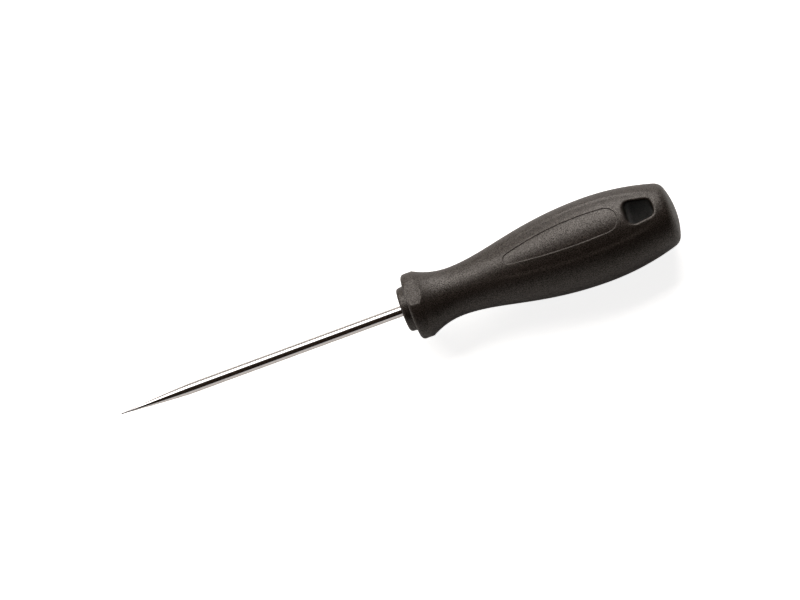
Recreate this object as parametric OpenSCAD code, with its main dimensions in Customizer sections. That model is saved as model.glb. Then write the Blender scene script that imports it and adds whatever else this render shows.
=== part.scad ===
// Bradawl: a round pointed steel blade held in a swelling moulded plastic handle.
// The tool lies along X with its point towards -X. The origin is on the axis, in the
// front face of the nose, where the blade comes out. Z runs along the hang hole.
// Every place is measured along X from the origin, unless its comment says otherwise.

/* [Blade] */
// Diameter of the round shank
blade_d = 4; // [4:0.1:5]
// Length of blade in front of the handle, with its point
blade_l = 110; // [60:1:160]
// Length of the ground point
point_l = 27; // [12:1:40]
// Swell of the ground point over a straight cone, half way along it
point_swell = 0.2; // [0.05:0.05:0.3]

/* [Nose and collar] */
// Length of the nose in front of the collar
nose_l = 3.1; // [2:0.1:5]
// Diameter of the nose where it meets the collar
nose_d = 17; // [15:0.1:19]
// Slope of the nose's side, in degrees
nose_draft = 7; // [1:0.5:10]
// Rounding of the nose's front edge
nose_round = 1.1; // [0.3:0.1:1.5]
// Diameter of the collar
collar_d = 24.8; // [24:0.1:28]
// Length of the collar's straight land
collar_l = 4.6; // [3:0.1:6]
// Rounding of the collar's front edge
collar_round = 1.4; // [0.3:0.1:2]
// Distance across the two flats of the collar
flats_w = 23.4; // [22:0.1:23.8]

/* [Handle outline] */
// Length of the handle, from the front of the nose to the butt
handle_l = 105; // [100:0.5:115]
// Place of the neck's thinnest section
neck_x = 20.4; // [18:0.1:24]
// Diameter of the neck
neck_d = 18.2; // [17.5:0.1:20]
// Reach of the hollow behind the neck
neck_reach = 14.4; // [10:0.1:20]
// Place of the belly's thickest section
belly_x = 73.8; // [70:0.1:78]
// Diameter of the belly
belly_d = 31.8; // [30:0.1:34]
// Reach of the belly's swell in front of its thickest section
belly_reach = 25.6; // [20:0.1:32]
// Diameter of the butt where the belly meets its dome
butt_d = 22.7; // [20:0.1:26]
// Radius of the domed butt
butt_dome_r = 28; // [24:0.5:32]
// Rounding between the belly and the domed butt
butt_round = 4.5; // [3:0.1:5]

/* [Palm panels] */
// Place of the panels' widest section
panel_x = 73.5; // [70:0.5:76]
// Width of a panel
panel_w = 19.1; // [16:0.1:22]
// Radius of a panel's edge towards the neck
panel_front_r = 150; // [130:1:160]
// Radius of a panel's edge towards the butt
panel_rear_r = 80; // [75:1:110]
// Distance from the axis to the centre of a panel's rounder crown
panel_crown = 1.6; // [0.8:0.1:2.4]
// Depth of a panel along its middle
panel_sink = 0.1; // [0.05:0.05:0.3]

/* [Teardrop field] */
// Place of the centre of its narrow end
field_front_x = 42.9; // [40:0.1:48]
// Radius of its narrow end
field_front_r = 2.1; // [1:0.1:2.5]
// Place of the centre of its wide end
field_rear_x = 79.6; // [76:0.1:81]
// Radius of its wide end
field_rear_r = 4.8; // [4:0.05:5]
// Radius of its bowed sides
field_side_r = 132; // [90:1:150]
// Depth below the panel
field_depth = 0.3; // [0.15:0.05:0.5]

/* [Hang hole] */
// Length of the hole along the handle
hole_l = 10.1; // [8:0.1:11]
// Width of the hole on the side of the belly
hole_front_w = 10.1; // [8.5:0.1:11]
// Width of the hole on the side of the butt
hole_rear_w = 6.2; // [6.1:0.1:8]
// Corner radius of the hole
hole_corner_r = 2.7; // [1:0.1:3]
// Distance from the hole to the butt
hole_butt = 7.5; // [6:0.1:10]

/* [Core and tang] */
// Diameter of the tang, which leaves a shoulder against the nose
tang_d = 3.6; // [2.8:0.1:3.6]
// Plastic of the core behind the tang
tang_wall = 13.4; // [8:0.1:20]
// Distance from the middle of the tang's pressed wings to its end
wing_tang = 20; // [10:0.5:28]
// Length of the wings
wing_l = 11; // [8:0.5:14]
// Width across the wings
wing_w = 7; // [6:0.1:8]
// Thickness of the steel pressed into wings
wing_t = 2.4; // [1.8:0.1:2.8]
// Diameter of the core
core_d = 12.4; // [11:0.1:13]
// Plastic between the end of the core and the hang hole
core_hole_wall = 8; // [6:0.5:10]
// Width of a key rib on the core
rib_w = 2.6; // [2:0.1:4]
// Height of a key rib over the core
rib_h = 2; // [1:0.1:2.5]
// Distance from the key ribs to the end of the core
rib_core = 13.4; // [8:0.1:18]
// Length of the key ribs
rib_l = 30; // [20:0.5:32]
// Play between the two mouldings, and between plastic and steel
mould_gap = 0.05; // [0.02:0.01:0.1]

/* [Hidden] */
$fn = 96;
STEEL = "silver";
CORE_PLASTIC = "#323130";
GRIP_PLASTIC = "#2b2a29";
ARC_STEPS = 10;
SWAY_STEPS = 24;
LARGE_ARC_FN = 360;
RIB_COUNT = 4;
TURN = 360;

blade_r = blade_d / 2;
tang_r = tang_d / 2;
tang_chamfer = tang_r / 4;
wing_root_w = tang_d / 2;
wing_flat_l = wing_l / 2;
nose_r = nose_d / 2;
collar_r = collar_d / 2;
collar_end = nose_l + collar_l;
neck_r = neck_d / 2;
belly_r = belly_d / 2;
butt_r = butt_d / 2;
hole_end = handle_l - hole_butt;
hole_start = hole_end - hole_l;
core_r = core_d / 2;
core_end = hole_start - core_hole_wall;
core_end_round = core_r / 3;
rib_x = core_end - rib_core - rib_l;
tang_l = core_end - tang_wall;
wing_x = tang_l - wing_tang;

// Points of an arc about c from angle a to angle b
function arc(c, r, a, b, first = 0) =
    [for (i = [first:ARC_STEPS]) let (t = a + (b - a) * i / ARC_STEPS) c + r * [cos(t), sin(t)]];

// The same arc without its first point, to follow on from another
function arc_on(c, r, a, b) = arc(c, r, a, b, 1);

// Points of a curve that leaves p along X for reach p_on and comes to q along X from reach q_back
function sway(p, p_on, q, q_back) =
    let (a = p + [p_on, 0], b = q - [q_back, 0])
    [for (i = [1:SWAY_STEPS])
        let (t = i / SWAY_STEPS, s = 1 - t)
        s * s * s * p + 3 * s * s * t * a + 3 * s * t * t * b + t * t * t * q];

// Angle of the line from p to q
function heading(p, q) = atan2(q.y - p.y, q.x - p.x);

// Where a circle about p and a circle about q meet, on the left of the line from p to q
function meet(p, rp, q, rq) =
    let (d = norm(q - p), u = (q - p) / d, s = (d * d + rp * rp - rq * rq) / (2 * d))
    p + s * u + sqrt(rp * rp - s * s) * [-u.y, u.x];

// Radius of an arc that spans a chord and stands up from it by rise
function bow_r(chord, rise) = (chord * chord / 4 + rise * rise) / (2 * rise);

// Outline through the given corners, each rounded by r
function rounded(corners, r) =
    let (n = len(corners))
    [for (i = [0:n - 1])
        let (
            p = corners[i],
            back = corners[(i + n - 1) % n] - p,
            on = corners[(i + 1) % n] - p,
            u = back / norm(back),
            v = on / norm(on),
            half = acos(u * v) / 2,
            c = p + (u + v) / norm(u + v) * r / sin(half),
            a = heading(c, p + u * r / tan(half)),
            b = heading(c, p + v * r / tan(half)),
            swing = (b - a + 1.5 * TURN) % TURN - TURN / 2
        )
        each arc(c, r, a, a + swing)];

// Outline of the blade as [place, radius], from its point to the end of its tang
point_tip = [-blade_l, 0];
point_end = [point_l - blade_l, blade_r];
point_r = bow_r(norm(point_end - point_tip), point_swell);
point_c = meet(point_end, point_r, point_tip, point_r);
blade_outline = concat(
    [point_tip],
    arc_on(point_c, point_r, heading(point_c, point_tip), heading(point_c, point_end)),
    [
        [0, blade_r],
        [0, tang_r],
        [tang_l - tang_chamfer, tang_r],
        [tang_l, tang_r - tang_chamfer],
        [tang_l, 0]
    ]
);

// Outline of the core as [place, radius], from the nose's front face to its rear end
nose_round_c = [
    nose_round,
    nose_r - (nose_l - nose_round) * tan(nose_draft) - nose_round / cos(nose_draft)
];
core_outline = concat(
    [[0, 0]],
    arc(nose_round_c, nose_round, 180, 90 + nose_draft),
    [[nose_l, nose_r], [nose_l, core_r]],
    arc([core_end - core_end_round, core_r - core_end_round], core_end_round, 90, 0),
    [[core_end, 0]]
);

// Ends and centres of the curves that make the outline of the grip
neck = [neck_x, neck_r];
belly = [belly_x, belly_r];
flare_r = bow_r(2 * (neck_x - collar_end), collar_r - neck_r);
flare_c = neck + [0, flare_r];
dome_c = [handle_l - butt_dome_r, 0];
butt_x = dome_c.x + sqrt(butt_dome_r * butt_dome_r - butt_r * butt_r);
tail_r = bow_r(2 * (butt_x - belly_x), belly_r - butt_r);
tail_c = belly - [0, tail_r];
butt_c = meet(dome_c, butt_dome_r - butt_round, tail_c, tail_r - butt_round);

// Outline of the grip as [place, radius], from the collar's front face to the butt
grip_outline = concat(
    [[nose_l, 0]],
    arc([nose_l + collar_round, collar_r - collar_round], collar_round, 180, 90),
    arc(flare_c, flare_r, heading(flare_c, [collar_end, collar_r]), -90),
    sway(neck, neck_reach, belly, belly_reach),
    arc_on(tail_c, tail_r, 90, heading(tail_c, butt_c)),
    arc_on(butt_c, butt_round, heading(tail_c, butt_c), heading(dome_c, butt_c)),
    arc_on(dome_c, butt_dome_r, heading(dome_c, butt_c), 0)
);

// The grip's outline made thinner all round by the panels' crown distance
crown_outline = concat(
    [[nose_l, 0]],
    [for (p = grip_outline) if (p.y > panel_crown) [p.x, p.y - panel_crown]],
    [[dome_c.x + sqrt(butt_dome_r * butt_dome_r - panel_crown * panel_crown), 0]]
);

// Outline of the teardrop field, seen along Z
field_front = [field_front_x, 0];
field_rear = [field_rear_x, 0];
field_side_c = meet(
    field_rear, field_side_r - field_rear_r, field_front, field_side_r - field_front_r
);
field_front_a = heading(field_side_c, field_front);
field_rear_a = heading(field_side_c, field_rear);
field_outline = concat(
    arc_on(field_rear, field_rear_r, -field_rear_a, field_rear_a),
    arc_on(field_side_c, field_side_r, field_rear_a, field_front_a),
    arc_on(field_front, field_front_r, field_front_a, TURN - field_front_a),
    arc_on([field_side_c.x, -field_side_c.y], field_side_r, -field_front_a, -field_rear_a)
);

// Outline of the hang hole, seen along Z
hole_outline = rounded([
    [hole_start, -hole_front_w / 2],
    [hole_end, -hole_rear_w / 2],
    [hole_end, hole_rear_w / 2],
    [hole_start, hole_front_w / 2]
], hole_corner_r);

// Turns an outline of [place, radius] points about the X axis
module turned(outline)
    rotate([0, 90, 0])
        rotate_extrude()
            polygon([for (p = outline) [p.y, p.x]]);

// Wings of the tang, grown by gap on every side
module wings(gap = 0)
    translate([wing_x, 0, -wing_t / 2 - gap])
        linear_extrude(wing_t + 2 * gap)
            polygon([
                for (end = [-1, 1], step = [0:3])
                    let (wide = step == 1 || step == 2, side = step < 2 ? -end : end)
                    [
                        end * (wide ? wing_flat_l / 2 : wing_l / 2 + gap),
                        side * ((wide ? wing_w : wing_root_w) / 2 + gap)
                    ]
            ]);

// Space above and below the wings that the press takes out of the round steel
module press_marks(gap = 0)
    for (side = [-1, 1])
        translate([wing_x, 0, side * (wing_t / 2 + gap + tang_r)])
            cube([wing_flat_l - 2 * gap, wing_w, tang_d], center = true);

// Key ribs of the core, grown by gap on every side
module ribs(gap = 0)
    for (i = [0:RIB_COUNT - 1])
        rotate([TURN * (i + 0.5) / RIB_COUNT, 0, 0])
            translate([rib_x - gap, -rib_w / 2 - gap, 0])
                cube([rib_l + 2 * gap, rib_w + 2 * gap, core_r + rib_h + gap]);

// Half of a palm panel's plan between two places, with edges of one radius
module panel_half(edge_r, start, end)
    intersection() {
        translate([start, -panel_w])
            square([end - start, 2 * panel_w]);
        translate([panel_x, panel_w / 2 - edge_r])
            circle(r = edge_r, $fn = LARGE_ARC_FN);
        translate([panel_x, edge_r - panel_w / 2])
            circle(r = edge_r, $fn = LARGE_ARC_FN);
    }

// What a panel of the given plan takes off the grip, down to a crown that lies deep below it
module panel_cut(deep)
    difference() {
        translate([0, 0, panel_crown])
            linear_extrude(belly_r)
                children();
        translate([0, 0, panel_crown - deep])
            turned(crown_outline);
    }

module blade()
    color(STEEL)
        difference() {
            union() {
                turned(blade_outline);
                wings();
            }
            press_marks();
        }

module handle_core()
    color(CORE_PLASTIC)
        difference() {
            union() {
                turned(core_outline);
                ribs();
            }
            difference() {
                union() {
                    rotate([0, 90, 0])
                        translate([0, 0, -nose_l])
                            cylinder(h = nose_l + tang_l + mould_gap, r = tang_r + mould_gap);
                    wings(mould_gap);
                }
                press_marks(mould_gap);
            }
        }

module handle_grip()
    color(GRIP_PLASTIC)
        difference() {
            turned(grip_outline);
            // Room for the core and its key ribs
            rotate([0, 90, 0])
                cylinder(h = core_end + mould_gap, r = core_r + mould_gap);
            ribs(mould_gap);
            // Flats of the collar, and the palm panels, which end where the butt's rounding starts
            for (side = [0, 1])
                rotate([side * TURN / 2, 0, 0]) {
                    translate([0, -collar_r, flats_w / 2])
                        cube([neck_x, collar_d, collar_r]);
                    panel_cut(panel_sink) {
                        panel_half(panel_front_r, collar_end, panel_x);
                        panel_half(panel_rear_r, panel_x, butt_c.x);
                    }
                }
            // Teardrop field on top
            panel_cut(panel_sink + field_depth)
                polygon(field_outline);
            // Hang hole
            translate([0, 0, -belly_d / 2])
                linear_extrude(belly_d)
                    polygon(hole_outline);
        }

blade();
handle_core();
handle_grip();
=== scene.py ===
import math

import bmesh
import bpy
import numpy as np
from bpy.props import FloatProperty, FloatVectorProperty, IntProperty, PointerProperty
from mathutils import Matrix, Vector
from mathutils.geometry import delaunay_2d_cdt
from mathutils.kdtree import KDTree


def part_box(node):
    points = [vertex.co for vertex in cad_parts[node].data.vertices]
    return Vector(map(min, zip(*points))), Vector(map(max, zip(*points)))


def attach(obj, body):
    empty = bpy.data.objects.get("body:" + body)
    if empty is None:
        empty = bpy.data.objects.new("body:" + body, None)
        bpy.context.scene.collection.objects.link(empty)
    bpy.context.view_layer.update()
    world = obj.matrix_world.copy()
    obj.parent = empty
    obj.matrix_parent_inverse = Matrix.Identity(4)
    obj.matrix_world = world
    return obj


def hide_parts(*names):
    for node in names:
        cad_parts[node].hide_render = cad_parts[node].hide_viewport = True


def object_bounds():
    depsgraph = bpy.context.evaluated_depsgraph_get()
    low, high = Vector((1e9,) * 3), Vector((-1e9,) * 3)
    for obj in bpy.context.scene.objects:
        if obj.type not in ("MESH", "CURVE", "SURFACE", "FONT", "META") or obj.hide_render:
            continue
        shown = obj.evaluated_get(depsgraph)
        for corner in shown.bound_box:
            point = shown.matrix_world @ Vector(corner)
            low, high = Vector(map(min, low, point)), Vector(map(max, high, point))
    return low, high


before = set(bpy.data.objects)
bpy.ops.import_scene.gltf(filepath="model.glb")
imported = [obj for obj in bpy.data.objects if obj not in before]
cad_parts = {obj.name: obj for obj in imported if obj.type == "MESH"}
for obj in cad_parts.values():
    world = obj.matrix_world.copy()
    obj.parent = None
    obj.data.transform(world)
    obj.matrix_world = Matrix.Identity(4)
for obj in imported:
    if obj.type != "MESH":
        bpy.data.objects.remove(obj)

bl_info = {
    "name": "Bradawl",
    "version": (1, 0, 0),
    "blender": (4, 5, 0),
    "location": "View3D > Sidebar > Bradawl",
    "description": "Makes a bradawl with a chromed blade and a moulded handle, and a plain studio for it",
    "category": "Add Mesh",
}

MM = 0.001
CAD_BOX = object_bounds()
BLADE_FRONT, BLADE_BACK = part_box("blade")
CORE_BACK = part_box("handle_core")[1]
GRIP_FRONT, GRIP_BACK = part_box("handle_grip")

# Distances between the points of the grip's feature lines, and the room that the grid leaves round them
PANEL_STEP = 0.55 * MM
FIELD_STEP = 0.28 * MM
HOLE_STEP = 0.36 * MM
FLAT_STEP = 0.4 * MM
LINE_ROOM_MM = 0.34
# Turn of the line along the rear edge of a panel, which reaches past the butt's rounding
PANEL_REAR_TURN = 0.36
# Edges that turn by more than these angles stay sharp
SHARP_TURNED = math.radians(30)
SHARP_GRIP = math.radians(60)

# The studio, in metres round the object: half the floor, the foot of the front card, and the softbox
FLOOR_REACH = 3.0
CARD_Y = -0.7
CARD_FOOT_Z = 0.134
SOFTBOX_SIZE = (1.4, 1.0)
SOFTBOX_DISTANCE = 0.95
SOFTBOX_AIM = Vector((0.1, -0.69, -0.65)).normalized()
# Plain white that the paper adds for the camera, and the share of it that metal sees
FLOOR_LIFT = 0.86
FLOOR_IN_METAL = 0.1

# The photograph, in pixels, and a sensor for it
IMAGE_W, IMAGE_H = 800, 600
NOSE_AT = (403.15, 310.5)
FOCAL = 3311
SENSOR_MM = 36.0


def linear(code):
    """Linear colour of an sRGB hex code such as #c0ffee."""
    shares = [int(code[i : i + 2], 16) / 255 for i in (1, 3, 5)]
    return tuple(c / 12.92 if c <= 0.04045 else ((c + 0.055) / 1.055) ** 2.4 for c in shares)


def length(name, description, mm):
    """A length property whose default is given in millimetres."""
    return FloatProperty(
        name=name, description=description, default=mm * MM, min=0.0, precision=5, subtype="DISTANCE", unit="LENGTH"
    )


def colour(name, description, code):
    """A colour property whose default is given as an sRGB hex code."""
    return FloatVectorProperty(
        name=name, description=description, default=linear(code), min=0.0, max=1.0, subtype="COLOR"
    )


class BladeSettings(bpy.types.PropertyGroup):
    """Sizes and colour of the blade."""

    shank_d: length("Shank diameter", "Diameter of the round shank", 4)
    blade_l: length("Blade length", "Length in front of the handle", -BLADE_FRONT.x / MM)
    point_l: length("Point length", "Length of the ground point", 27)
    point_swell: length("Point swell", "Swell of the point over a straight cone", 0.2)
    tip_flat: length("Tip flat", "Diameter of the flat worn on the tip", 0.42)
    tang_d: length("Tang diameter", "Diameter inside the handle", 3.6)
    tang_l: length("Tang length", "Length inside the handle", BLADE_BACK.x / MM)
    chrome: colour("Chrome", "Colour of the plated steel", "#dcd7d5")
    # The blade turns from the chrome colour to this darker steel colour over this length at the tip
    dark_tip: colour("Tip steel", "Colour of the steel where the plating is worn", "#4a423d")
    dark_tip_l: length("Dark tip length", "Length at the tip over which the plating wears thin", 9)
    sides: IntProperty(name="Sides", description="Facets round the blade", default=64, min=12, max=256)


class HandleSettings(bpy.types.PropertyGroup):
    """Sizes and colour of the two mouldings of the handle."""

    plastic: colour("Plastic", "Colour of the moulded plastic", "#29221d")
    grain: length("Grain", "Width of a pit of the mould grain", 0.3)
    nose_l: length("Nose length", "Length of the nose in front of the collar", GRIP_FRONT.x / MM)
    nose_d: length("Nose diameter", "Diameter where the nose meets the collar", 17)
    nose_draft: FloatProperty(
        name="Nose draft",
        description="Slope of the nose's side",
        default=math.radians(7),
        subtype="ANGLE",
        unit="ROTATION",
    )
    nose_round: length("Nose rounding", "Rounding of the nose's front edge", 1.1)
    core_d: length("Core diameter", "Diameter of the core inside the grip", 12.4)
    core_l: length("Core length", "Length of the core with its nose", CORE_BACK.x / MM)
    mould_gap: length("Mould gap", "Play between the mouldings, and round the tang", 0.05)
    collar_d: length("Collar diameter", "Diameter of the collar", 24.8)
    collar_l: length("Collar length", "Length of the collar's straight land", 4.6)
    collar_round: length("Collar rounding", "Rounding of the collar's front edge", 1.4)
    flats_w: length("Flats", "Distance across the two flats of the collar", 23.4)
    flats_round: length("Flats rounding", "Softness of the edges of the flats", 0.08)
    handle_l: length("Handle length", "From the front of the nose to the butt", GRIP_BACK.x / MM)
    neck_x: length("Neck place", "Place of the thinnest section", 20.4)
    neck_d: length("Neck diameter", "Diameter of the neck", 18.2)
    neck_reach: length("Neck reach", "Reach of the hollow behind the neck", 14.4)
    belly_x: length("Belly place", "Place of the thickest section", 73.8)
    belly_d: length("Belly diameter", "Diameter of the belly", 31.8)
    belly_reach: length("Belly reach", "Reach of the swell in front of the belly", 25.6)
    butt_d: length("Butt diameter", "Diameter where the belly meets the dome", 22.7)
    butt_dome_r: length("Butt dome", "Radius of the domed butt", 28)
    butt_round: length("Butt rounding", "Rounding between belly and dome", 4.5)
    panel_x: length("Panel place", "Place of the panels' widest section", 73.5)
    panel_w: length("Panel width", "Width of a palm panel", 19.1)
    panel_front_r: length("Panel front edge", "Radius of the panel's edge towards the neck", 150)
    panel_rear_r: length("Panel rear edge", "Radius of the panel's edge towards the butt", 80)
    panel_crown: length("Panel crown", "Distance from the axis to the centre of the crown", 1.6)
    panel_sink: length("Panel sink", "Depth of a panel along its middle", 0.1)
    panel_riser: length("Panel riser", "Half the width of the panel's soft edge", 0.85)
    panel_fade: length("Panel fade", "Place where the panel has half its depth, running out to the neck", 35)
    field_front_x: length("Field front", "Centre of the teardrop field's narrow end", 42.9)
    field_front_r: length("Field front radius", "Radius of its narrow end", 2.1)
    field_rear_x: length("Field rear", "Centre of its wide end", 79.6)
    field_rear_r: length("Field rear radius", "Radius of its wide end", 4.8)
    field_side_r: length("Field sides", "Radius of its bowed sides", 132)
    field_depth: length("Field depth", "Depth below the panel", 0.3)
    field_edge: length("Field edge", "Half the width of its crisp edge", 0.1)
    hole_l: length("Hole length", "Length of the hang hole along the handle", 10.1)
    hole_front_w: length("Hole front width", "Width on the side of the belly", 10.1)
    hole_rear_w: length("Hole rear width", "Width on the side of the butt", 6.2)
    hole_corner_r: length("Hole corners", "Corner radius of the hang hole", 2.7)
    hole_butt: length("Hole to butt", "Distance from the hang hole to the butt", 7.5)
    hole_lip_r: length("Hole lip", "Rounding of the hang hole's rims", 1.2)
    columns: IntProperty(name="Columns", description="Facets round half of the grip", default=66, min=24, max=160)


class StudioSettings(bpy.types.PropertyGroup):
    """Colours and light of the studio."""

    paper: colour("Paper", "Colour of the floor", "#f1ede8")
    card: colour("Card", "Colour of the dark cards round the object", "#2e2620")
    softbox: FloatProperty(
        name="Softbox", description="Power of the softbox", default=17.0, min=0.0, unit="POWER", subtype="POWER"
    )
    fill: FloatProperty(name="Fill", description="Strength of the room's fill light", default=0.06, min=0.0, max=2.0)


def add_node(tree, kind, values=None, **settings):
    """Adds a node with its settings, and gives its inputs their values or links."""
    made = tree.nodes.new(kind)
    for name, setting in settings.items():
        setattr(made, name, setting)
    for name, value in (values or {}).items():
        if isinstance(value, bpy.types.NodeSocket):
            tree.links.new(value, made.inputs[name])
        else:
            made.inputs[name].default_value = value
    return made


def new_material(name):
    """An empty node material of that name."""
    material = bpy.data.materials.new(name)
    material.use_nodes = True
    material.node_tree.nodes.clear()
    return material


def chromed_steel(blade):
    """Material of the blade."""
    # Drawn steel with bright chrome: a mirror with fine lines along the bar, left from drawing and polishing
    material = new_material("Chromed steel")
    tree = material.node_tree
    place = add_node(tree, "ShaderNodeTexCoord").outputs["Object"]
    # Lines 0.25 mm apart and 30 mm long, drawn coarser than the real polish so that they show
    stretched = add_node(
        tree, "ShaderNodeMapping", {"Vector": place, "Scale": (1 / (30 * MM), 1 / (0.25 * MM), 1 / (0.25 * MM))}
    )
    lines = add_node(tree, "ShaderNodeTexNoise", {"Vector": stretched.outputs["Vector"], "Scale": 1.0, "Detail": 2.0})
    # Faint clouds 6 mm long where the plating is a little duller
    clouds = add_node(tree, "ShaderNodeTexNoise", {"Vector": place, "Scale": 1 / (6 * MM), "Detail": 3.0})
    dull = add_node(
        tree, "ShaderNodeMapRange", {"Value": clouds.outputs["Fac"], "To Min": 0.045, "To Max": 0.1}
    )
    # Darker steel over the last stretch of the blade towards the tip
    along = add_node(tree, "ShaderNodeSeparateXYZ", {"Vector": place}).outputs["X"]
    from_tip = add_node(
        tree,
        "ShaderNodeMapRange",
        {"Value": along, "From Min": -blade.blade_l, "From Max": blade.dark_tip_l - blade.blade_l},
    )
    shade = add_node(
        tree,
        "ShaderNodeMix",
        {"Factor": from_tip.outputs["Result"], "A": (*blade.dark_tip, 1.0), "B": (*blade.chrome, 1.0)},
        data_type="RGBA",
    )
    bump = add_node(
        tree, "ShaderNodeBump", {"Height": lines.outputs["Fac"], "Strength": 0.12, "Distance": 0.002 * MM}
    )
    shader = add_node(
        tree,
        "ShaderNodeBsdfPrincipled",
        {
            "Base Color": shade.outputs["Result"],
            "Metallic": 1.0,
            "Roughness": dull.outputs["Result"],
            "Normal": bump.outputs["Normal"],
        },
    )
    add_node(tree, "ShaderNodeOutputMaterial", {"Surface": shader.outputs["BSDF"]})
    return material


def moulded_polypropylene(handle, name):
    """Material of a moulding."""
    # Black polypropylene from a spark-eroded mould: a dull dark skin of fine shallow pits, coloured with painted
    # shade down in the pits and painted light on their tops.
    # The pits are drawn coarser than the real ones, so that they show
    material = new_material(name)
    tree = material.node_tree
    place = add_node(tree, "ShaderNodeTexCoord").outputs["Object"]
    pits = add_node(
        tree, "ShaderNodeTexVoronoi", {"Vector": place, "Scale": 1 / handle.grain}, feature="SMOOTH_F1"
    )
    grit = add_node(
        tree, "ShaderNodeTexNoise", {"Vector": place, "Scale": 1 / handle.grain, "Detail": 3.0, "Roughness": 0.6}
    )
    skin = add_node(
        tree,
        "ShaderNodeMath",
        {0: pits.outputs["Distance"], 1: 0.6, 2: grit.outputs["Fac"]},
        operation="MULTIPLY_ADD",
    )
    # Clouds 14 mm wide where handling has burnished the skin
    clouds = add_node(tree, "ShaderNodeTexNoise", {"Vector": place, "Scale": 1 / (14 * MM), "Detail": 2.0})
    worn = add_node(
        tree, "ShaderNodeMath", {0: clouds.outputs["Fac"], 1: 0.35, 2: grit.outputs["Fac"]}, operation="MULTIPLY_ADD"
    )
    # Painted shade and light: the colour is darker down in the pits and paler on their tops, following the bump's
    # height
    tone = add_node(
        tree, "ShaderNodeMapRange", {"Value": skin.outputs["Value"], "From Min": 0.55, "From Max": 0.95}
    )
    plastic = Vector(handle.plastic)
    shade = add_node(
        tree,
        "ShaderNodeMix",
        {
            "Factor": tone.outputs["Result"],
            "A": (*(plastic * 0.5), 1.0),
            "B": (*(plastic * 1.5), 1.0),
        },
        data_type="RGBA",
    )
    dull = add_node(
        tree,
        "ShaderNodeMapRange",
        {"Value": worn.outputs["Value"], "From Min": 0.4, "From Max": 0.95, "To Min": 0.34, "To Max": 0.48},
    )
    # The tops of the grain shine more than its pits
    shine = add_node(
        tree,
        "ShaderNodeMapRange",
        {"Value": skin.outputs["Value"], "From Min": 0.5, "From Max": 1.0, "To Min": 0.0, "To Max": 1.0},
    )
    bump = add_node(
        tree, "ShaderNodeBump", {"Height": skin.outputs["Value"], "Strength": 0.8, "Distance": 0.04 * MM}
    )
    shader = add_node(
        tree,
        "ShaderNodeBsdfPrincipled",
        {
            "Base Color": shade.outputs["Result"],
            "Roughness": dull.outputs["Result"],
            "IOR": 1.49,
            "Specular IOR Level": shine.outputs["Result"],
            "Specular Tint": (*linear("#fff6ee"), 1.0),
            "Normal": bump.outputs["Normal"],
        },
    )
    add_node(tree, "ShaderNodeOutputMaterial", {"Surface": shader.outputs["BSDF"]})
    return material


def arc(centre, radius, start, end, steps):
    """Points of an arc between two angles in radians."""
    angles = np.linspace(start, end, steps + 1)
    return np.asarray(centre) + radius * np.column_stack((np.cos(angles), np.sin(angles)))


def heading(start, end):
    """Angle of the line from start to end."""
    return math.atan2(end[1] - start[1], end[0] - start[0])


def meet(p, p_r, q, q_r):
    """Where two circles meet, on the left of the line from p to q."""
    p, q = np.asarray(p), np.asarray(q)
    apart = np.linalg.norm(q - p)
    along = (q - p) / apart
    share = (apart**2 + p_r**2 - q_r**2) / (2 * apart)
    return p + share * along + math.sqrt(p_r**2 - share**2) * np.array((-along[1], along[0]))


def bow_r(chord, rise):
    """Radius of an arc that stands up from its chord by rise."""
    return (chord**2 / 4 + rise**2) / (2 * rise)


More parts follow.
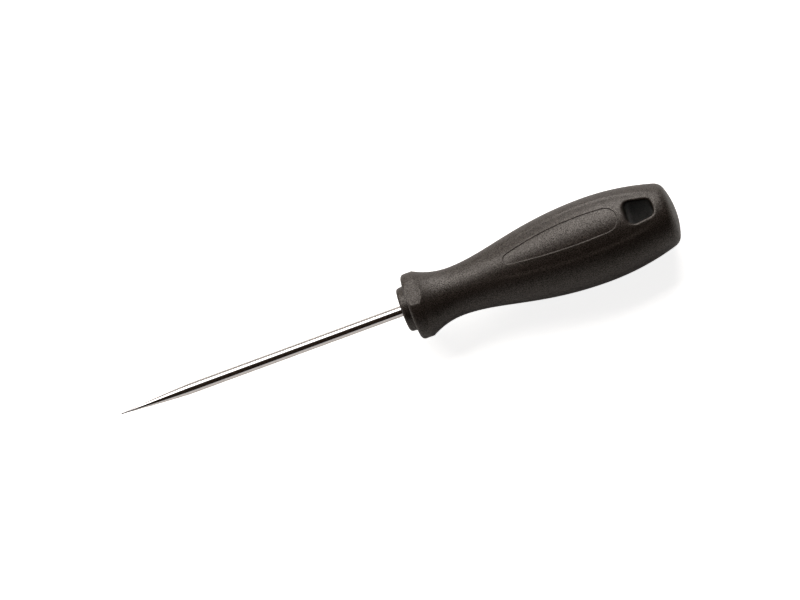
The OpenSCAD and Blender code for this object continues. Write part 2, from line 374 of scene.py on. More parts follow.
def turned_tree():
    """Geometry nodes that turn an outline of (place, radius) points about the X axis."""
    tree = bpy.data.node_groups.new("Turned piece", "GeometryNodeTree")
    tree.interface.new_socket("Outline", in_out="INPUT", socket_type="NodeSocketGeometry")
    tree.interface.new_socket("Sides", in_out="INPUT", socket_type="NodeSocketInt")
    tree.interface.new_socket("Material", in_out="INPUT", socket_type="NodeSocketMaterial")
    tree.interface.new_socket("Geometry", in_out="OUTPUT", socket_type="NodeSocketGeometry")
    given = add_node(tree, "NodeGroupInput").outputs
    count = add_node(tree, "GeometryNodeAttributeDomainSize", {"Geometry": given["Outline"]}).outputs["Point Count"]
    columns = add_node(tree, "ShaderNodeMath", {0: given["Sides"], 1: 1.0}, operation="ADD").outputs["Value"]
    grid = add_node(
        tree, "GeometryNodeMeshGrid", {"Size X": 1.0, "Size Y": 1.0, "Vertices X": count, "Vertices Y": columns}
    ).outputs["Mesh"]
    position = add_node(tree, "GeometryNodeInputPosition").outputs["Position"]
    across = add_node(tree, "ShaderNodeSeparateXYZ", {"Vector": position}).outputs
    last = add_node(tree, "ShaderNodeMath", {0: count, 1: 1.0}, operation="SUBTRACT").outputs["Value"]
    share = add_node(tree, "ShaderNodeMath", {0: across["X"], 1: 0.5}, operation="ADD").outputs["Value"]
    row = add_node(tree, "ShaderNodeMath", {0: share, 1: last}, operation="MULTIPLY").outputs["Value"]
    row = add_node(tree, "FunctionNodeFloatToInt", {"Float": row}, rounding_mode="ROUND").outputs["Integer"]
    angle = add_node(
        tree, "ShaderNodeMath", {0: across["Y"], 1: 2 * math.pi, 2: math.pi}, operation="MULTIPLY_ADD"
    ).outputs["Value"]
    point = add_node(
        tree,
        "GeometryNodeSampleIndex",
        {"Geometry": given["Outline"], "Value": position, "Index": row},
        data_type="FLOAT_VECTOR",
        domain="POINT",
    ).outputs["Value"]
    point = add_node(tree, "ShaderNodeSeparateXYZ", {"Vector": point}).outputs
    sine = add_node(tree, "ShaderNodeMath", {0: angle}, operation="SINE").outputs["Value"]
    cosine = add_node(tree, "ShaderNodeMath", {0: angle}, operation="COSINE").outputs["Value"]
    y = add_node(tree, "ShaderNodeMath", {0: point["Y"], 1: sine}, operation="MULTIPLY").outputs["Value"]
    z = add_node(tree, "ShaderNodeMath", {0: point["Y"], 1: cosine}, operation="MULTIPLY").outputs["Value"]
    spot = add_node(tree, "ShaderNodeCombineXYZ", {"X": point["X"], "Y": y, "Z": z}).outputs["Vector"]
    placed = add_node(tree, "GeometryNodeSetPosition", {"Geometry": grid, "Position": spot}).outputs["Geometry"]
    merged = add_node(tree, "GeometryNodeMergeByDistance", {"Geometry": placed, "Distance": 1e-6}).outputs["Geometry"]
    real = add_node(tree, "GeometryNodeRealizeInstances", {"Geometry": merged}).outputs["Geometry"]
    dressed = add_node(
        tree, "GeometryNodeSetMaterial", {"Geometry": real, "Material": given["Material"]}
    ).outputs["Geometry"]
    add_node(tree, "NodeGroupOutput", {"Geometry": dressed})
    return tree


def turned_mesh(name, outline, sides, material):
    """Plain mesh of an outline turned by the geometry nodes."""
    points = [(x, r, 0.0) for x, r in outline]
    wire = bpy.data.meshes.new(name + "_outline")
    wire.from_pydata(points, [(i, i + 1) for i in range(len(points) - 1)], [])
    blank = bpy.data.objects.new(name + "_outline", wire)
    bpy.context.scene.collection.objects.link(blank)
    tree = bpy.data.node_groups.get("Turned piece") or turned_tree()
    modifier = blank.modifiers.new("Turned", "NODES")
    modifier.node_group = tree
    inputs = {item.name: item.identifier for item in tree.interface.items_tree if item.in_out == "INPUT"}
    modifier[inputs["Sides"]] = sides
    modifier[inputs["Material"]] = material
    bpy.context.view_layer.update()
    ready = blank.evaluated_get(bpy.context.evaluated_depsgraph_get())
    mesh = bpy.data.meshes.new_from_object(ready)
    blank.modifiers.remove(modifier)
    bpy.data.objects.remove(blank)
    bpy.data.meshes.remove(wire)
    mesh.name = name
    return mesh


def finish_mesh(mesh, sharp):
    """Closes and smooths a mesh, turns its faces outwards and keeps edges over the given angle sharp."""
    work = bmesh.new()
    work.from_mesh(mesh)
    bmesh.ops.remove_doubles(work, verts=work.verts, dist=1e-7)
    bmesh.ops.dissolve_degenerate(work, edges=work.edges, dist=1e-8)
    bmesh.ops.recalc_face_normals(work, faces=work.faces)
    for face in work.faces:
        face.smooth = True
    work.to_mesh(mesh)
    work.free()
    mesh.set_sharp_from_angle(angle=sharp)
    mesh.update()


def show_piece(name, mesh, node):
    """Puts a finished mesh in the scene in place of its CAD node."""
    piece = bpy.data.objects.new(name, mesh)
    bpy.context.scene.collection.objects.link(piece)
    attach(piece, "root")
    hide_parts(node)
    return piece


def blade_outline(blade):
    """Outline of the blade from its tip to the end of its tang."""
    tip = np.array((-blade.blade_l, 0.0))
    end = np.array((blade.point_l - blade.blade_l, blade.shank_d / 2))
    radius = bow_r(np.linalg.norm(end - tip), blade.point_swell)
    centre = meet(end, radius, tip, radius)
    bow = arc(centre, radius, heading(centre, tip), heading(centre, end), 24)
    bow[:, 1] = np.hypot(bow[:, 1], blade.tip_flat / 2 * (1 - bow[:, 1] / end[1]))
    tang_r = blade.tang_d / 2
    chamfer = tang_r / 4
    return np.concatenate((
        [tip],
        bow,
        [
            (0.0, blade.shank_d / 2),
            (0.0, tang_r),
            (blade.tang_l - chamfer, tang_r),
            (blade.tang_l, tang_r - chamfer),
            (blade.tang_l, 0.0),
        ],
    ))


def core_outline(handle, blade):
    """Outline of the core, from the end of its bore round the nose to its rear end."""
    gap = handle.mould_gap
    bore_r = blade.tang_d / 2 + gap
    nose_r = handle.nose_d / 2
    rounding = handle.nose_round
    slope = handle.nose_draft
    edge_r = nose_r - (handle.nose_l - rounding) * math.tan(slope) - rounding / math.cos(slope)
    core_r = handle.core_d / 2
    end_round = core_r / 3
    return np.concatenate((
        [(blade.tang_l + gap, 0.0), (blade.tang_l + gap, bore_r), (0.0, bore_r)],
        arc((rounding, edge_r), rounding, math.pi, math.pi / 2 + slope, 10),
        [(handle.nose_l, nose_r), (handle.nose_l, core_r)],
        arc((handle.core_l - end_round, core_r - end_round), end_round, math.pi / 2, 0.0, 8),
        [(handle.core_l, 0.0)],
    ))


class GripForm:
    """Skin of the grip: its outline, and what the flats, panels, field and hang hole do to it."""

    FINE = 4  # Points of the outline for each row of the mesh

    def __init__(self, handle):
        self.handle = handle
        self.collar_r = handle.collar_d / 2
        self.flat = handle.flats_w / 2
        self.bore_r = handle.core_d / 2 + handle.mould_gap
        self.hole_end = handle.handle_l - handle.hole_butt
        self.hole_start = self.hole_end - handle.hole_l
        self.outline()
        self.field()
        self.hole()

    def outline(self):
        """Outline from the bore over the collar, neck and belly to the middle of the butt."""
        h = self.handle
        fine = self.FINE
        neck = np.array((h.neck_x, h.neck_d / 2))
        belly = np.array((h.belly_x, h.belly_d / 2))
        land = np.array((h.nose_l + h.collar_l, self.collar_r))
        flare_r = bow_r(2 * (h.neck_x - land[0]), self.collar_r - neck[1])
        flare_c = neck + (0, flare_r)
        dome_c = np.array((h.handle_l - h.butt_dome_r, 0.0))
        butt_x = dome_c[0] + math.sqrt(h.butt_dome_r**2 - (h.butt_d / 2) ** 2)
        tail_r = bow_r(2 * (butt_x - belly[0]), belly[1] - h.butt_d / 2)
        tail_c = belly - (0, tail_r)
        butt_c = meet(dome_c, h.butt_dome_r - h.butt_round, tail_c, tail_r - h.butt_round)
        rim_c = (h.nose_l + h.collar_round, self.collar_r - h.collar_round)
        t = np.linspace(0, 1, 62 * fine + 1)[:, None]
        leave, come = neck + (h.neck_reach, 0), belly - (h.belly_reach, 0)
        sway = (1 - t) ** 3 * neck + 3 * (1 - t) ** 2 * t * leave + 3 * (1 - t) * t**2 * come + t**3 * belly
        parts = (
            np.linspace((h.nose_l, self.bore_r), (h.nose_l, rim_c[1]), 6 * fine + 1),
            arc(rim_c, h.collar_round, math.pi, math.pi / 2, 6 * fine),
            np.linspace((rim_c[0], self.collar_r), land, 4 * fine + 1),
            arc(flare_c, flare_r, heading(flare_c, land), -math.pi / 2, 18 * fine),
            sway,
            arc(tail_c, tail_r, math.pi / 2, heading(tail_c, butt_c), 30 * fine),
            arc(butt_c, h.butt_round, heading(tail_c, butt_c), heading(dome_c, butt_c), 9 * fine),
            arc(dome_c, h.butt_dome_r, heading(dome_c, butt_c), 0.0, 14 * fine),
        )
        points = np.concatenate([parts[0]] + [part[1:] for part in parts[1:]])
        self.x, self.r = points.T
        self.s = np.concatenate(([0.0], np.cumsum(np.linalg.norm(np.diff(points, axis=0), axis=1))))
        self.rim_row = len(parts[0]) + len(parts[1]) - 2
        self.land_row = self.rim_row + len(parts[2]) - 1
        self.neck_row = self.land_row + len(parts[3]) - 1
        self.butt_x = butt_c[0]

    def field(self):
        """Circles of the teardrop field."""
        h = self.handle
        self.front = np.array((h.field_front_x, 0.0))
        self.rear = np.array((h.field_rear_x, 0.0))
        self.side = meet(self.rear, h.field_side_r - h.field_rear_r, self.front, h.field_side_r - h.field_front_r)
        self.front_a = heading(self.side, self.front)
        self.rear_a = heading(self.side, self.rear)

    def hole(self):
        """Corners of the hang hole, drawn in by its corner radius."""
        h = self.handle
        corners = np.array((
            (self.hole_start, -h.hole_front_w / 2),
            (self.hole_end, -h.hole_rear_w / 2),
            (self.hole_end, h.hole_rear_w / 2),
            (self.hole_start, h.hole_front_w / 2),
        ))
        sides = np.roll(corners, -1, axis=0) - corners
        along = sides / np.linalg.norm(sides, axis=1)[:, None]
        self.hole_out = np.column_stack((along[:, 1], -along[:, 0]))
        inset = (corners * self.hole_out).sum(1) - h.hole_corner_r
        before = np.roll(np.arange(4), 1)
        self.hole_corners = np.array([
            np.linalg.solve(self.hole_out[[i, j]], inset[[i, j]]) for i, j in zip(range(4), before)
        ])

    def panel_gap(self, x, y):
        """Distance from the edge of the palm panel, negative inside it."""
        h = self.handle
        edge_r = np.where(x < h.panel_x, h.panel_front_r, h.panel_rear_r)
        return np.hypot(x - h.panel_x, np.abs(y) + edge_r - h.panel_w / 2) - edge_r

    def field_gap(self, x, y):
        """Distance from the edge of the teardrop field, negative inside it."""
        h = self.handle
        y = np.abs(y)
        turn = np.arctan2(y - self.side[1], x - self.side[0])
        by_side = np.hypot(x - self.side[0], y - self.side[1]) - h.field_side_r
        by_rear = np.hypot(x - self.rear[0], y) - h.field_rear_r
        by_front = np.hypot(x - self.front[0], y) - h.field_front_r
        return np.where(turn < self.rear_a, by_rear, np.where(turn > self.front_a, by_front, by_side))

    def hole_gap(self, x, y):
        """Distance from the edge of the hang hole, negative inside it."""
        p = np.column_stack((x, y))
        level = ((p[:, None] - self.hole_corners) * self.hole_out).sum(2).max(1)
        following = np.roll(self.hole_corners, -1, axis=0) - self.hole_corners
        share = ((p[:, None] - self.hole_corners) * following).sum(2) / (following**2).sum(1)
        nearest = self.hole_corners + np.clip(share, 0, 1)[..., None] * following
        away = np.linalg.norm(p[:, None] - nearest, axis=2).min(1)
        return np.where(level > 0, away, level) - self.handle.hole_corner_r

    def skin(self, s, turn, with_field):
        """Points of the upper half of the skin, at a distance along the outline and an angle from +Z."""
        h = self.handle
        x = np.interp(s, self.s, self.x)
        r = np.interp(s, self.s, self.r)
        # The flats of the collar
        cosine = np.maximum(np.cos(turn), 1e-3)
        r = np.where(s < self.s[self.neck_row], soft_min(r, self.flat / cosine, h.flats_round), r)
        # The palm panel, a pillow with a soft riser that runs out towards the neck and before the butt
        behind = s > self.s[self.rim_row]
        y = r * np.sin(turn)
        lifted = h.panel_crown - h.panel_sink
        inside = np.maximum((r - h.panel_crown) ** 2 - (lifted * np.sin(turn)) ** 2, 0)
        pillow = lifted * np.cos(turn) + np.sqrt(inside)
        share = fall(self.panel_gap(x, y) / h.panel_riser) * fall((h.panel_fade - x) / (h.panel_fade - h.neck_x))
        share = share * fall((x - self.butt_x + h.butt_round) / h.butt_round) * behind
        r = r + (pillow - r) * share
        if with_field:
            r = r - h.field_depth * fall(self.field_gap(x, y) / h.field_edge) * behind
        # The rounded lip of the hang hole
        lip = h.hole_lip_r
        into = lip - np.clip(self.hole_gap(x, y), 0, lip)
        drop = lip - np.sqrt(lip**2 - into**2)
        return np.column_stack((x, r * np.sin(turn), r * np.cos(turn) - drop))

    def unroll(self, plan):
        """Distance along the outline and angle from +Z of points seen along Z."""
        x, y = np.asarray(plan).T
        s = np.interp(x, self.x[self.rim_row :], self.s[self.rim_row :])
        r = np.interp(s, self.s, self.r)
        return np.column_stack((s, np.arcsin(np.clip(y / r, -1, 1))))


def soft_min(a, b, softness):
    """The smaller of two values, rounded where they are alike."""
    near = np.maximum(softness - np.abs(a - b), 0) / softness
    return np.minimum(a, b) - near**2 * softness / 4


def fall(t):
    """1 below -1, 0 above 1, and a smooth fall between."""
    t = np.clip((1 - t) / 2, 0, 1)
    return t * t * (3 - 2 * t)


def along_line(points, gap):
    """Points at an even distance along a line, with both ends."""
    points = np.asarray(points)
    s = np.concatenate(([0.0], np.cumsum(np.linalg.norm(np.diff(points, axis=0), axis=1))))
    wanted = np.linspace(0, s[-1], max(2, int(round(s[-1] / gap))) + 1)
    return np.column_stack([np.interp(wanted, s, axis) for axis in points.T])


def panel_lines(form):
    """Lines along both edges of a palm panel, as (place, angle) points."""
    h = form.handle
    riser = h.panel_riser
    lines = []
    for gap in np.array((-1.5, -1.0, -0.6, -0.2, 0.2, 0.6, 1.0, 1.5)) * riser:
        for side in (-1, 1):
            front_c = (h.panel_x, h.panel_w / 2 - h.panel_front_r)
            rear_c = (h.panel_x, h.panel_w / 2 - h.panel_rear_r)
            reach = math.acos(min(1.0, -front_c[1] / (h.panel_front_r + gap)))
            edge = np.concatenate((
                arc(front_c, h.panel_front_r + gap, math.pi / 2 + reach, math.pi / 2, 120),
                arc(rear_c, h.panel_rear_r + gap, math.pi / 2, math.pi / 2 - PANEL_REAR_TURN, 80)[1:],
            ))
            edge = edge[(edge[:, 1] > 0.1 * MM) & (edge[:, 0] < form.butt_x + 0.4 * h.butt_round)]
            lines.append(form.unroll(along_line(edge, PANEL_STEP) * (1, side)))
    return lines


def field_lines(form):
    """Closed lines along the edge of the teardrop field, as (place, angle) points."""
    h = form.handle
    lines = []
    for gap in np.array((-2.5, -1.0, -0.5, 0.0, 0.5, 1.0, 2.5)) * h.field_edge:
        half = np.concatenate((
            arc(form.rear, h.field_rear_r + gap, 0.0, form.rear_a, 40),
            arc(form.side, h.field_side_r + gap, form.rear_a, form.front_a, 160)[1:],
            arc(form.front, h.field_front_r + gap, form.front_a, math.pi, 40)[1:],
        ))
        half = along_line(half, FIELD_STEP)
        loop = np.concatenate((half, half[-2:0:-1] * (1, -1)))
        lines.append(form.unroll(np.concatenate((loop, loop[:1]))))
    return lines


def hole_lines(form):
    """Closed lines round the rounded lip of the hang hole, from its wall outwards."""
    h = form.handle
    lines = []
    for lean in np.radians((90, 72, 54, 36, 18, 0)):
        radius = h.hole_corner_r + h.hole_lip_r * (1 - math.sin(lean))
        loop = []
        for i in range(4):
            start = heading((0, 0), form.hole_out[i - 1])
            end = heading((0, 0), form.hole_out[i])
            end += 2 * math.pi * (end < start)
            loop.extend(arc(form.hole_corners[i], radius, start, end, 10))
        loop = along_line(loop + loop[:1], HOLE_STEP)
        loop[-1] = loop[0]
        lines.append(form.unroll(loop))
    return lines


def flat_lines(form):
    """Closed lines along the edge of a flat of the collar, as (place, angle) points."""
    reach = math.acos(form.flat / form.collar_r)
    turns = np.linspace(-reach, reach, 81)
    flare = slice(form.neck_row, form.land_row, -1)
    rim = slice(0, form.rim_row + 1)
    rear = np.interp(form.flat / np.cos(turns), form.r[flare], form.s[flare])
    front = np.interp(form.flat / np.cos(turns), form.r[rim], form.s[rim])
    scale = (1, form.collar_r)
    loop = np.concatenate((np.column_stack((rear, turns)), np.column_stack((front, turns))[::-1]))
    loop = along_line(np.concatenate((loop, loop[:1])) * scale, FLAT_STEP)[:-1]
    tangent = np.roll(loop, -1, axis=0) - np.roll(loop, 1, axis=0)
    normal = np.column_stack((tangent[:, 1], -tangent[:, 0])) / np.linalg.norm(tangent, axis=1)[:, None]
    lines = []
    for gap in np.array((-0.12, 0.0, 0.12)) * MM:
        line = (loop + normal * gap) / scale
        lines.append(np.concatenate((line, line[:1])))
    return lines


def half_grip(form, with_field):
    """Points, triangles, hole edge and bore edge of the upper half of the grip."""
    turns = np.linspace(-math.pi / 2, math.pi / 2, form.handle.columns + 1)
    rows = form.s[:: form.FINE]
    grid = np.array([(s, turn) for s in rows for turn in turns])
    holes = hole_lines(form)
    lines = holes + panel_lines(form) + flat_lines(form)
    if with_field:
        lines += field_lines(form)
    # Grid points go where the lines of a feature take their place
    scale = np.array((1, form.handle.belly_d / 2)) / MM
    tree_points = np.concatenate(lines) * scale
    x = np.interp(grid[:, 0], form.s, form.x)
    y = np.interp(grid[:, 0], form.s, form.r) * np.sin(grid[:, 1])
    border = np.isclose(np.abs(grid[:, 1]), math.pi / 2) | (grid[:, 0] < rows[1] / 2)
    border |= grid[:, 0] > form.s[-1] - 0.01 * MM
    clear = nearest_gap(grid * scale, tree_points) > LINE_ROOM_MM
    grid = grid[border | ((form.hole_gap(x, y) > form.handle.hole_lip_r) & clear)]
    points = [tuple(p) for p in grid * scale]
    edges = []
    hole_edge = None
    for line in lines:
        closed = np.allclose(line[0], line[-1])
        own = line[:-1] if closed else line
        ids = list(range(len(points), len(points) + len(own)))
        points.extend(tuple(p) for p in own * scale)
        edges.extend(zip(ids, ids[1:] + ids[:1] if closed else ids[1:]))
        hole_edge = hole_edge or ids
    verts, _, faces, sources, _, _ = delaunay_2d_cdt([Vector(p) for p in points], edges, [], 0, 1e-7)
    flat = np.array([tuple(v) for v in verts]) / scale
    skin = form.skin(flat[:, 0], flat[:, 1], with_field)
    found = {source: i for i, group in enumerate(sources) for source in group}
    hole_edge = [found[i] for i in hole_edge]
    inside = set(hole_edge)
    centres = np.array([flat[list(face)].mean(0) for face in faces])
    plan_x = np.interp(centres[:, 0], form.s, form.x)
    plan_y = np.interp(centres[:, 0], form.s, form.r) * np.sin(centres[:, 1])
    open_face = form.hole_gap(plan_x, plan_y) < -0.005 * MM
    kept = [tuple(f) for f, gone in zip(faces, open_face) if not (gone or inside.issuperset(f))]
    bore = [found[i] for i in range(len(turns))]
    return skin, kept, hole_edge, bore


def nearest_gap(points, others):
    """Distance from each point to the nearest of the others."""
    tree = KDTree(len(others))
    for i, p in enumerate(others):
        tree.insert((p[0], p[1], 0.0), i)
    tree.balance()
    return np.array([tree.find((p[0], p[1], 0.0))[2] for p in points])


def grip_mesh(handle):
    """Closed mesh of the grip, with its bore and its hang hole."""
    form = GripForm(handle)
    verts, faces, walls, bores = [], [], [], []
    for flip in (1, -1):
        skin, tris, hole_edge, bore = half_grip(form, flip > 0)
        first = len(verts)
        verts.extend(tuple(p) for p in skin * (1, 1, flip))
        faces.extend(tuple(first + i for i in tri) for tri in tris)
        walls.append([first + i for i in hole_edge])
        bores.append([first + i for i in bore])
    # Wall of the hang hole, with rings close to both lips
    ring = walls[0]
    top, bottom = (np.array([verts[i] for i in wall]) for wall in walls)
    for step in (0.04, 0.3, 0.7, 0.96, 1.0):
        if step < 1:
            following = list(range(len(verts), len(verts) + len(ring)))
            verts.extend(tuple(p) for p in top + (bottom - top) * step)
        else:
            following = walls[1]
        for i in range(len(ring)):
            faces.append((ring[i - 1], ring[i], following[i], following[i - 1]))
        ring = following
    # Bore for the core
    end = handle.core_l + handle.mould_gap
    ring = bores[0] + bores[1][-2:0:-1]
    following = list(range(len(verts), len(verts) + len(ring)))
    verts.extend((end, verts[i][1], verts[i][2]) for i in ring)
    middle = len(verts)
    verts.append((end, 0.0, 0.0))
    for i in range(len(ring)):
        faces.append((ring[i - 1], ring[i], following[i], following[i - 1]))
        faces.append((following[i - 1], following[i], middle))
    mesh = bpy.data.meshes.new("grip")
    mesh.from_pydata(verts, [], faces)
    return mesh


class BRADAWL_OT_blade(bpy.types.Operator):
    """Makes the chromed blade with its ground point and its tang"""

    bl_idname = "bradawl.blade"
    bl_label = "Blade"

    def execute(self, context):
        blade = context.scene.bradawl_blade
        mesh = turned_mesh("blade", blade_outline(blade), blade.sides, chromed_steel(blade))
        finish_mesh(mesh, SHARP_TURNED)
        show_piece("chromed_blade", mesh, "blade")
        return {"FINISHED"}


class BRADAWL_OT_core(bpy.types.Operator):
    """Makes the core with the nose that stands out of the collar"""

    bl_idname = "bradawl.core"
    bl_label = "Core"

    def execute(self, context):
        handle = context.scene.bradawl_handle
        outline = core_outline(handle, context.scene.bradawl_blade)
        material = moulded_polypropylene(handle, "Moulded polypropylene of the core")
        mesh = turned_mesh("core", outline, 2 * handle.columns, material)
        finish_mesh(mesh, SHARP_TURNED)
        show_piece("moulded_core", mesh, "handle_core")
        return {"FINISHED"}


class BRADAWL_OT_grip(bpy.types.Operator):
    """Makes the grip with its collar, palm panels, teardrop field and hang hole"""

    bl_idname = "bradawl.grip"
    bl_label = "Grip"

    def execute(self, context):
        handle = context.scene.bradawl_handle
        mesh = grip_mesh(handle)
        mesh.materials.append(moulded_polypropylene(handle, "Moulded polypropylene of the grip"))
        finish_mesh(mesh, SHARP_GRIP)
        show_piece("moulded_grip", mesh, "handle_grip")
        return {"FINISHED"}


def add_plane(name, corners, material):
    """A four-sided sheet of the studio."""
    mesh = bpy.data.meshes.new(name)
    mesh.from_pydata(corners, [], [(0, 1, 2, 3)])
    mesh.materials.append(material)
    sheet = bpy.data.objects.new(name, mesh)
    bpy.context.scene.collection.objects.link(sheet)
    return sheet


def seen_share(tree, glossy):
    """Share of plain white in the background: 1 from the camera and through glass, the given share off metal."""
    path = add_node(tree, "ShaderNodeLightPath").outputs
    part = add_node(tree, "ShaderNodeMath", {0: path["Is Glossy Ray"], 1: glossy}, operation="MULTIPLY")
    both = add_node(
        tree, "ShaderNodeMath", {0: path["Is Camera Ray"], 1: part.outputs["Value"]}, operation="MAXIMUM"
    )
    return add_node(
        tree, "ShaderNodeMath", {0: both.outputs["Value"], 1: path["Is Transmission Ray"]}, operation="MAXIMUM"
    ).outputs["Value"]


def white_paper(studio):
    """Material of the floor and of the white card."""
    # Matt white paper, mostly plain white where it is seen, so that only a faint soft shadow stays on it
    material = new_material("White paper")
    tree = material.node_tree
    place = add_node(tree, "ShaderNodeTexCoord").outputs["Object"]
    fibres = add_node(tree, "ShaderNodeTexNoise", {"Vector": place, "Scale": 1 / (1.5 * MM), "Detail": 3.0})
    paper = Vector(studio.paper)
    tone = add_node(
        tree,
        "ShaderNodeMix",
        {"Factor": fibres.outputs["Fac"], "A": (*(paper * 0.98), 1.0), "B": (*paper, 1.0)},
        data_type="RGBA",
    )
    seen = seen_share(tree, FLOOR_IN_METAL)
    lift = add_node(tree, "ShaderNodeMath", {0: seen, 1: FLOOR_LIFT}, operation="MULTIPLY")
    matt = add_node(tree, "ShaderNodeBsdfDiffuse", {"Color": tone.outputs["Result"]})
    glow = add_node(tree, "ShaderNodeEmission", {"Strength": lift.outputs["Value"]})
    both = add_node(tree, "ShaderNodeAddShader", {0: matt.outputs["BSDF"], 1: glow.outputs["Emission"]})
    add_node(tree, "ShaderNodeOutputMaterial", {"Surface": both.outputs["Shader"]})
    return material


def dark_card(studio):
    """Material of the dark cards."""
    # Matt dark card, which puts the dark band on the chrome and the dark sides on the handle
    material = new_material("Dark card")
    tree = material.node_tree
    place = add_node(tree, "ShaderNodeTexCoord").outputs["Object"]
    fibres = add_node(tree, "ShaderNodeTexNoise", {"Vector": place, "Scale": 1 / (3 * MM), "Detail": 2.0})
    card = Vector(studio.card)
    tone = add_node(
        tree,
        "ShaderNodeMix",
        {"Factor": fibres.outputs["Fac"], "A": (*(card * 0.9), 1.0), "B": (*card, 1.0)},
        data_type="RGBA",
    )
    matt = add_node(tree, "ShaderNodeBsdfDiffuse", {"Color": tone.outputs["Result"]})
    add_node(tree, "ShaderNodeOutputMaterial", {"Surface": matt.outputs["BSDF"]})
    return material


class BRADAWL_OT_studio(bpy.types.Operator):
    """Makes the floor, the light and the camera"""

    bl_idname = "bradawl.studio"
    bl_label = "Studio"

    def execute(self, context):
        scene = context.scene
        studio = scene.bradawl_studio
        scene.view_settings.view_transform = "Standard"
        self.sheets(studio)
        # A large softbox behind and above the object
        lamp = bpy.data.lights.new("softbox", "AREA")
        lamp.shape = "RECTANGLE"
        lamp.size, lamp.size_y = SOFTBOX_SIZE
        lamp.energy = studio.softbox
        box = bpy.data.objects.new("softbox", lamp)
        turn = SOFTBOX_AIM.to_track_quat("-Z", "Y").to_matrix().to_4x4()
        box.matrix_world = Matrix.Translation(-SOFTBOX_DISTANCE * SOFTBOX_AIM) @ turn
        box.visible_camera = False
        scene.collection.objects.link(box)
        scene.world = room(studio)
        scene.camera = photo_camera()
        scene.collection.objects.link(scene.camera)
        return {"FINISHED"}

    def sheets(self, studio):
        """Floor, and the cards that only reflections see."""
        low = CAD_BOX[0][2]
        far = FLOOR_REACH
        dark, paper = dark_card(studio), white_paper(studio)
        add_plane("floor", [(-far, -far, low), (far, -far, low), (far, far, low), (-far, far, low)], paper)
        y, z = CARD_Y, CARD_FOOT_Z
        cards = {
            # Leans from in front of the object to overhead
            "front_card": ([(-1.6, y, z), (1.6, y, z), (1.6, 0.12, 1.1), (-1.6, 0.12, 1.1)], dark),
            # Closes the gap under it, in front of the handle
            "foot_card": ([(0.05, y, low), (1.6, y, low), (1.6, y, z), (0.05, y, z)], dark),
            # Leans in beyond the butt
            "side_card": ([(0.9, y, low), (0.9, 0.5, low), (0.6, 0.5, 0.6), (0.6, y, 0.6)], dark),
            # Stands behind the blade and draws the grey line along its upper edge
            "back_card": ([(-1.5, 0.65, low), (-1.5, 0.65, 0.54), (-0.04, 0.65, 0.54), (-0.04, 0.65, low)], paper),
        }
        for name, (corners, material) in cards.items():
            add_plane(name, corners, material).visible_camera = False


def room(studio):
    """World that fills in a little light and is white where it is seen."""
    world = bpy.data.worlds.new("Room")
    world.use_nodes = True
    tree = world.node_tree
    tree.nodes.clear()
    # Metal sees white above, and grey walls up to 20 degrees over the floor
    place = add_node(tree, "ShaderNodeTexCoord").outputs["Generated"]
    height = add_node(tree, "ShaderNodeSeparateXYZ", {"Vector": place}).outputs["Z"]
    walls = add_node(
        tree,
        "ShaderNodeMapRange",
        {"Value": height, "From Min": 0.2, "From Max": 0.34, "To Min": 0.75, "To Max": 1.0},
    )
    share = seen_share(tree, walls.outputs["Result"])
    level = add_node(tree, "ShaderNodeMapRange", {"Value": share, "To Min": studio.fill, "To Max": 1.0})
    white = add_node(
        tree, "ShaderNodeBackground", {"Color": (1.0, 1.0, 1.0, 1.0), "Strength": level.outputs["Result"]}
    )
    add_node(tree, "ShaderNodeOutputWorld", {"Surface": white.outputs["Background"]})
    return world


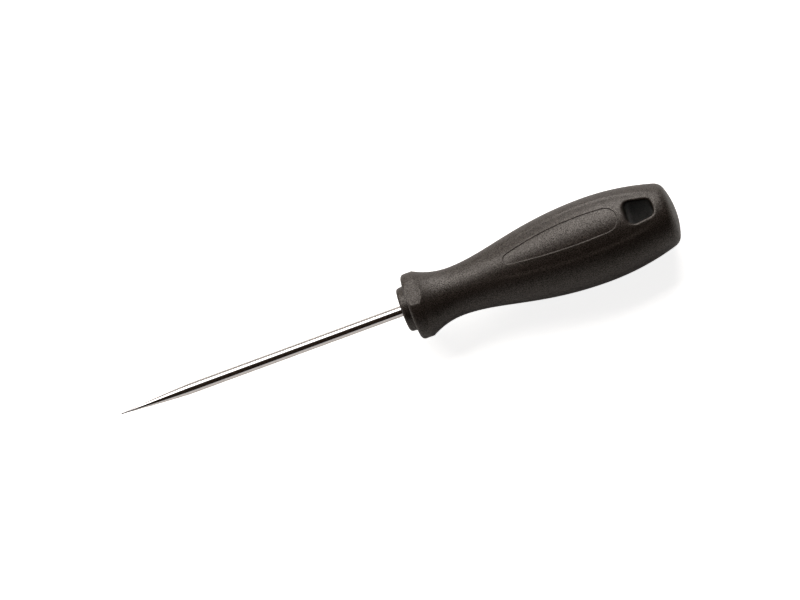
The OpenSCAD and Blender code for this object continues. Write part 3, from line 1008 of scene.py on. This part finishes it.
def photo_camera():
    """Camera at the photograph's place, so that the nose falls where the photograph shows it."""
    elevation, tilt, roll = math.radians(68.2), math.radians(5.0), math.radians(20.17)
    distance = 1200 * MM
    along = Vector((1, 0, 0))
    steepest = Vector((0.0, -math.cos(elevation), math.sin(elevation)))
    back = math.cos(tilt) * steepest + math.sin(tilt) * along
    level = (along - back * back.x).normalized()
    steep = back.cross(level)
    right = math.cos(roll) * level - math.sin(roll) * steep
    up = math.sin(roll) * level + math.cos(roll) * steep
    off_x, off_y = NOSE_AT[0] - IMAGE_W / 2, NOSE_AT[1] - IMAGE_H / 2
    aim = (off_y * up - off_x * right) * distance / FOCAL
    camera = bpy.data.cameras.new("camera")
    camera.sensor_width = SENSOR_MM
    camera.lens = SENSOR_MM * FOCAL / IMAGE_W
    camera.clip_start = 0.01
    seat = bpy.data.objects.new("camera", camera)
    turn = Matrix((right, up, back)).transposed().to_4x4()
    seat.matrix_world = Matrix.Translation(aim + back * distance) @ turn
    return seat


OPERATORS = (BRADAWL_OT_blade, BRADAWL_OT_core, BRADAWL_OT_grip, BRADAWL_OT_studio)
SETTINGS = {"bradawl_blade": BladeSettings, "bradawl_handle": HandleSettings, "bradawl_studio": StudioSettings}


class BRADAWL_PT_parts(bpy.types.Panel):
    """Lists the pieces and their settings"""

    bl_idname = "BRADAWL_PT_parts"
    bl_label = "Bradawl"
    bl_space_type = "VIEW_3D"
    bl_region_type = "UI"
    bl_category = "Bradawl"

    def draw(self, context):
        for operator in OPERATORS:
            self.layout.operator(operator.bl_idname)
        for group, kind in SETTINGS.items():
            box = self.layout.box()
            for name in kind.__annotations__:
                box.prop(getattr(context.scene, group), name)


def register():
    """Registers the settings, the operators and the panel."""
    for kind in (*SETTINGS.values(), *OPERATORS, BRADAWL_PT_parts):
        bpy.utils.register_class(kind)
    for group, kind in SETTINGS.items():
        setattr(bpy.types.Scene, group, PointerProperty(type=kind))


def unregister():
    """Removes what register added."""
    for group in SETTINGS:
        delattr(bpy.types.Scene, group)
    for kind in (BRADAWL_PT_parts, *reversed(OPERATORS), *reversed(SETTINGS.values())):
        bpy.utils.unregister_class(kind)


def main():
    """Makes every piece and the studio."""
    register()
    bpy.ops.bradawl.blade()
    bpy.ops.bradawl.core()
    bpy.ops.bradawl.grip()
    bpy.ops.bradawl.studio()


if __name__ == "__main__":
    main()
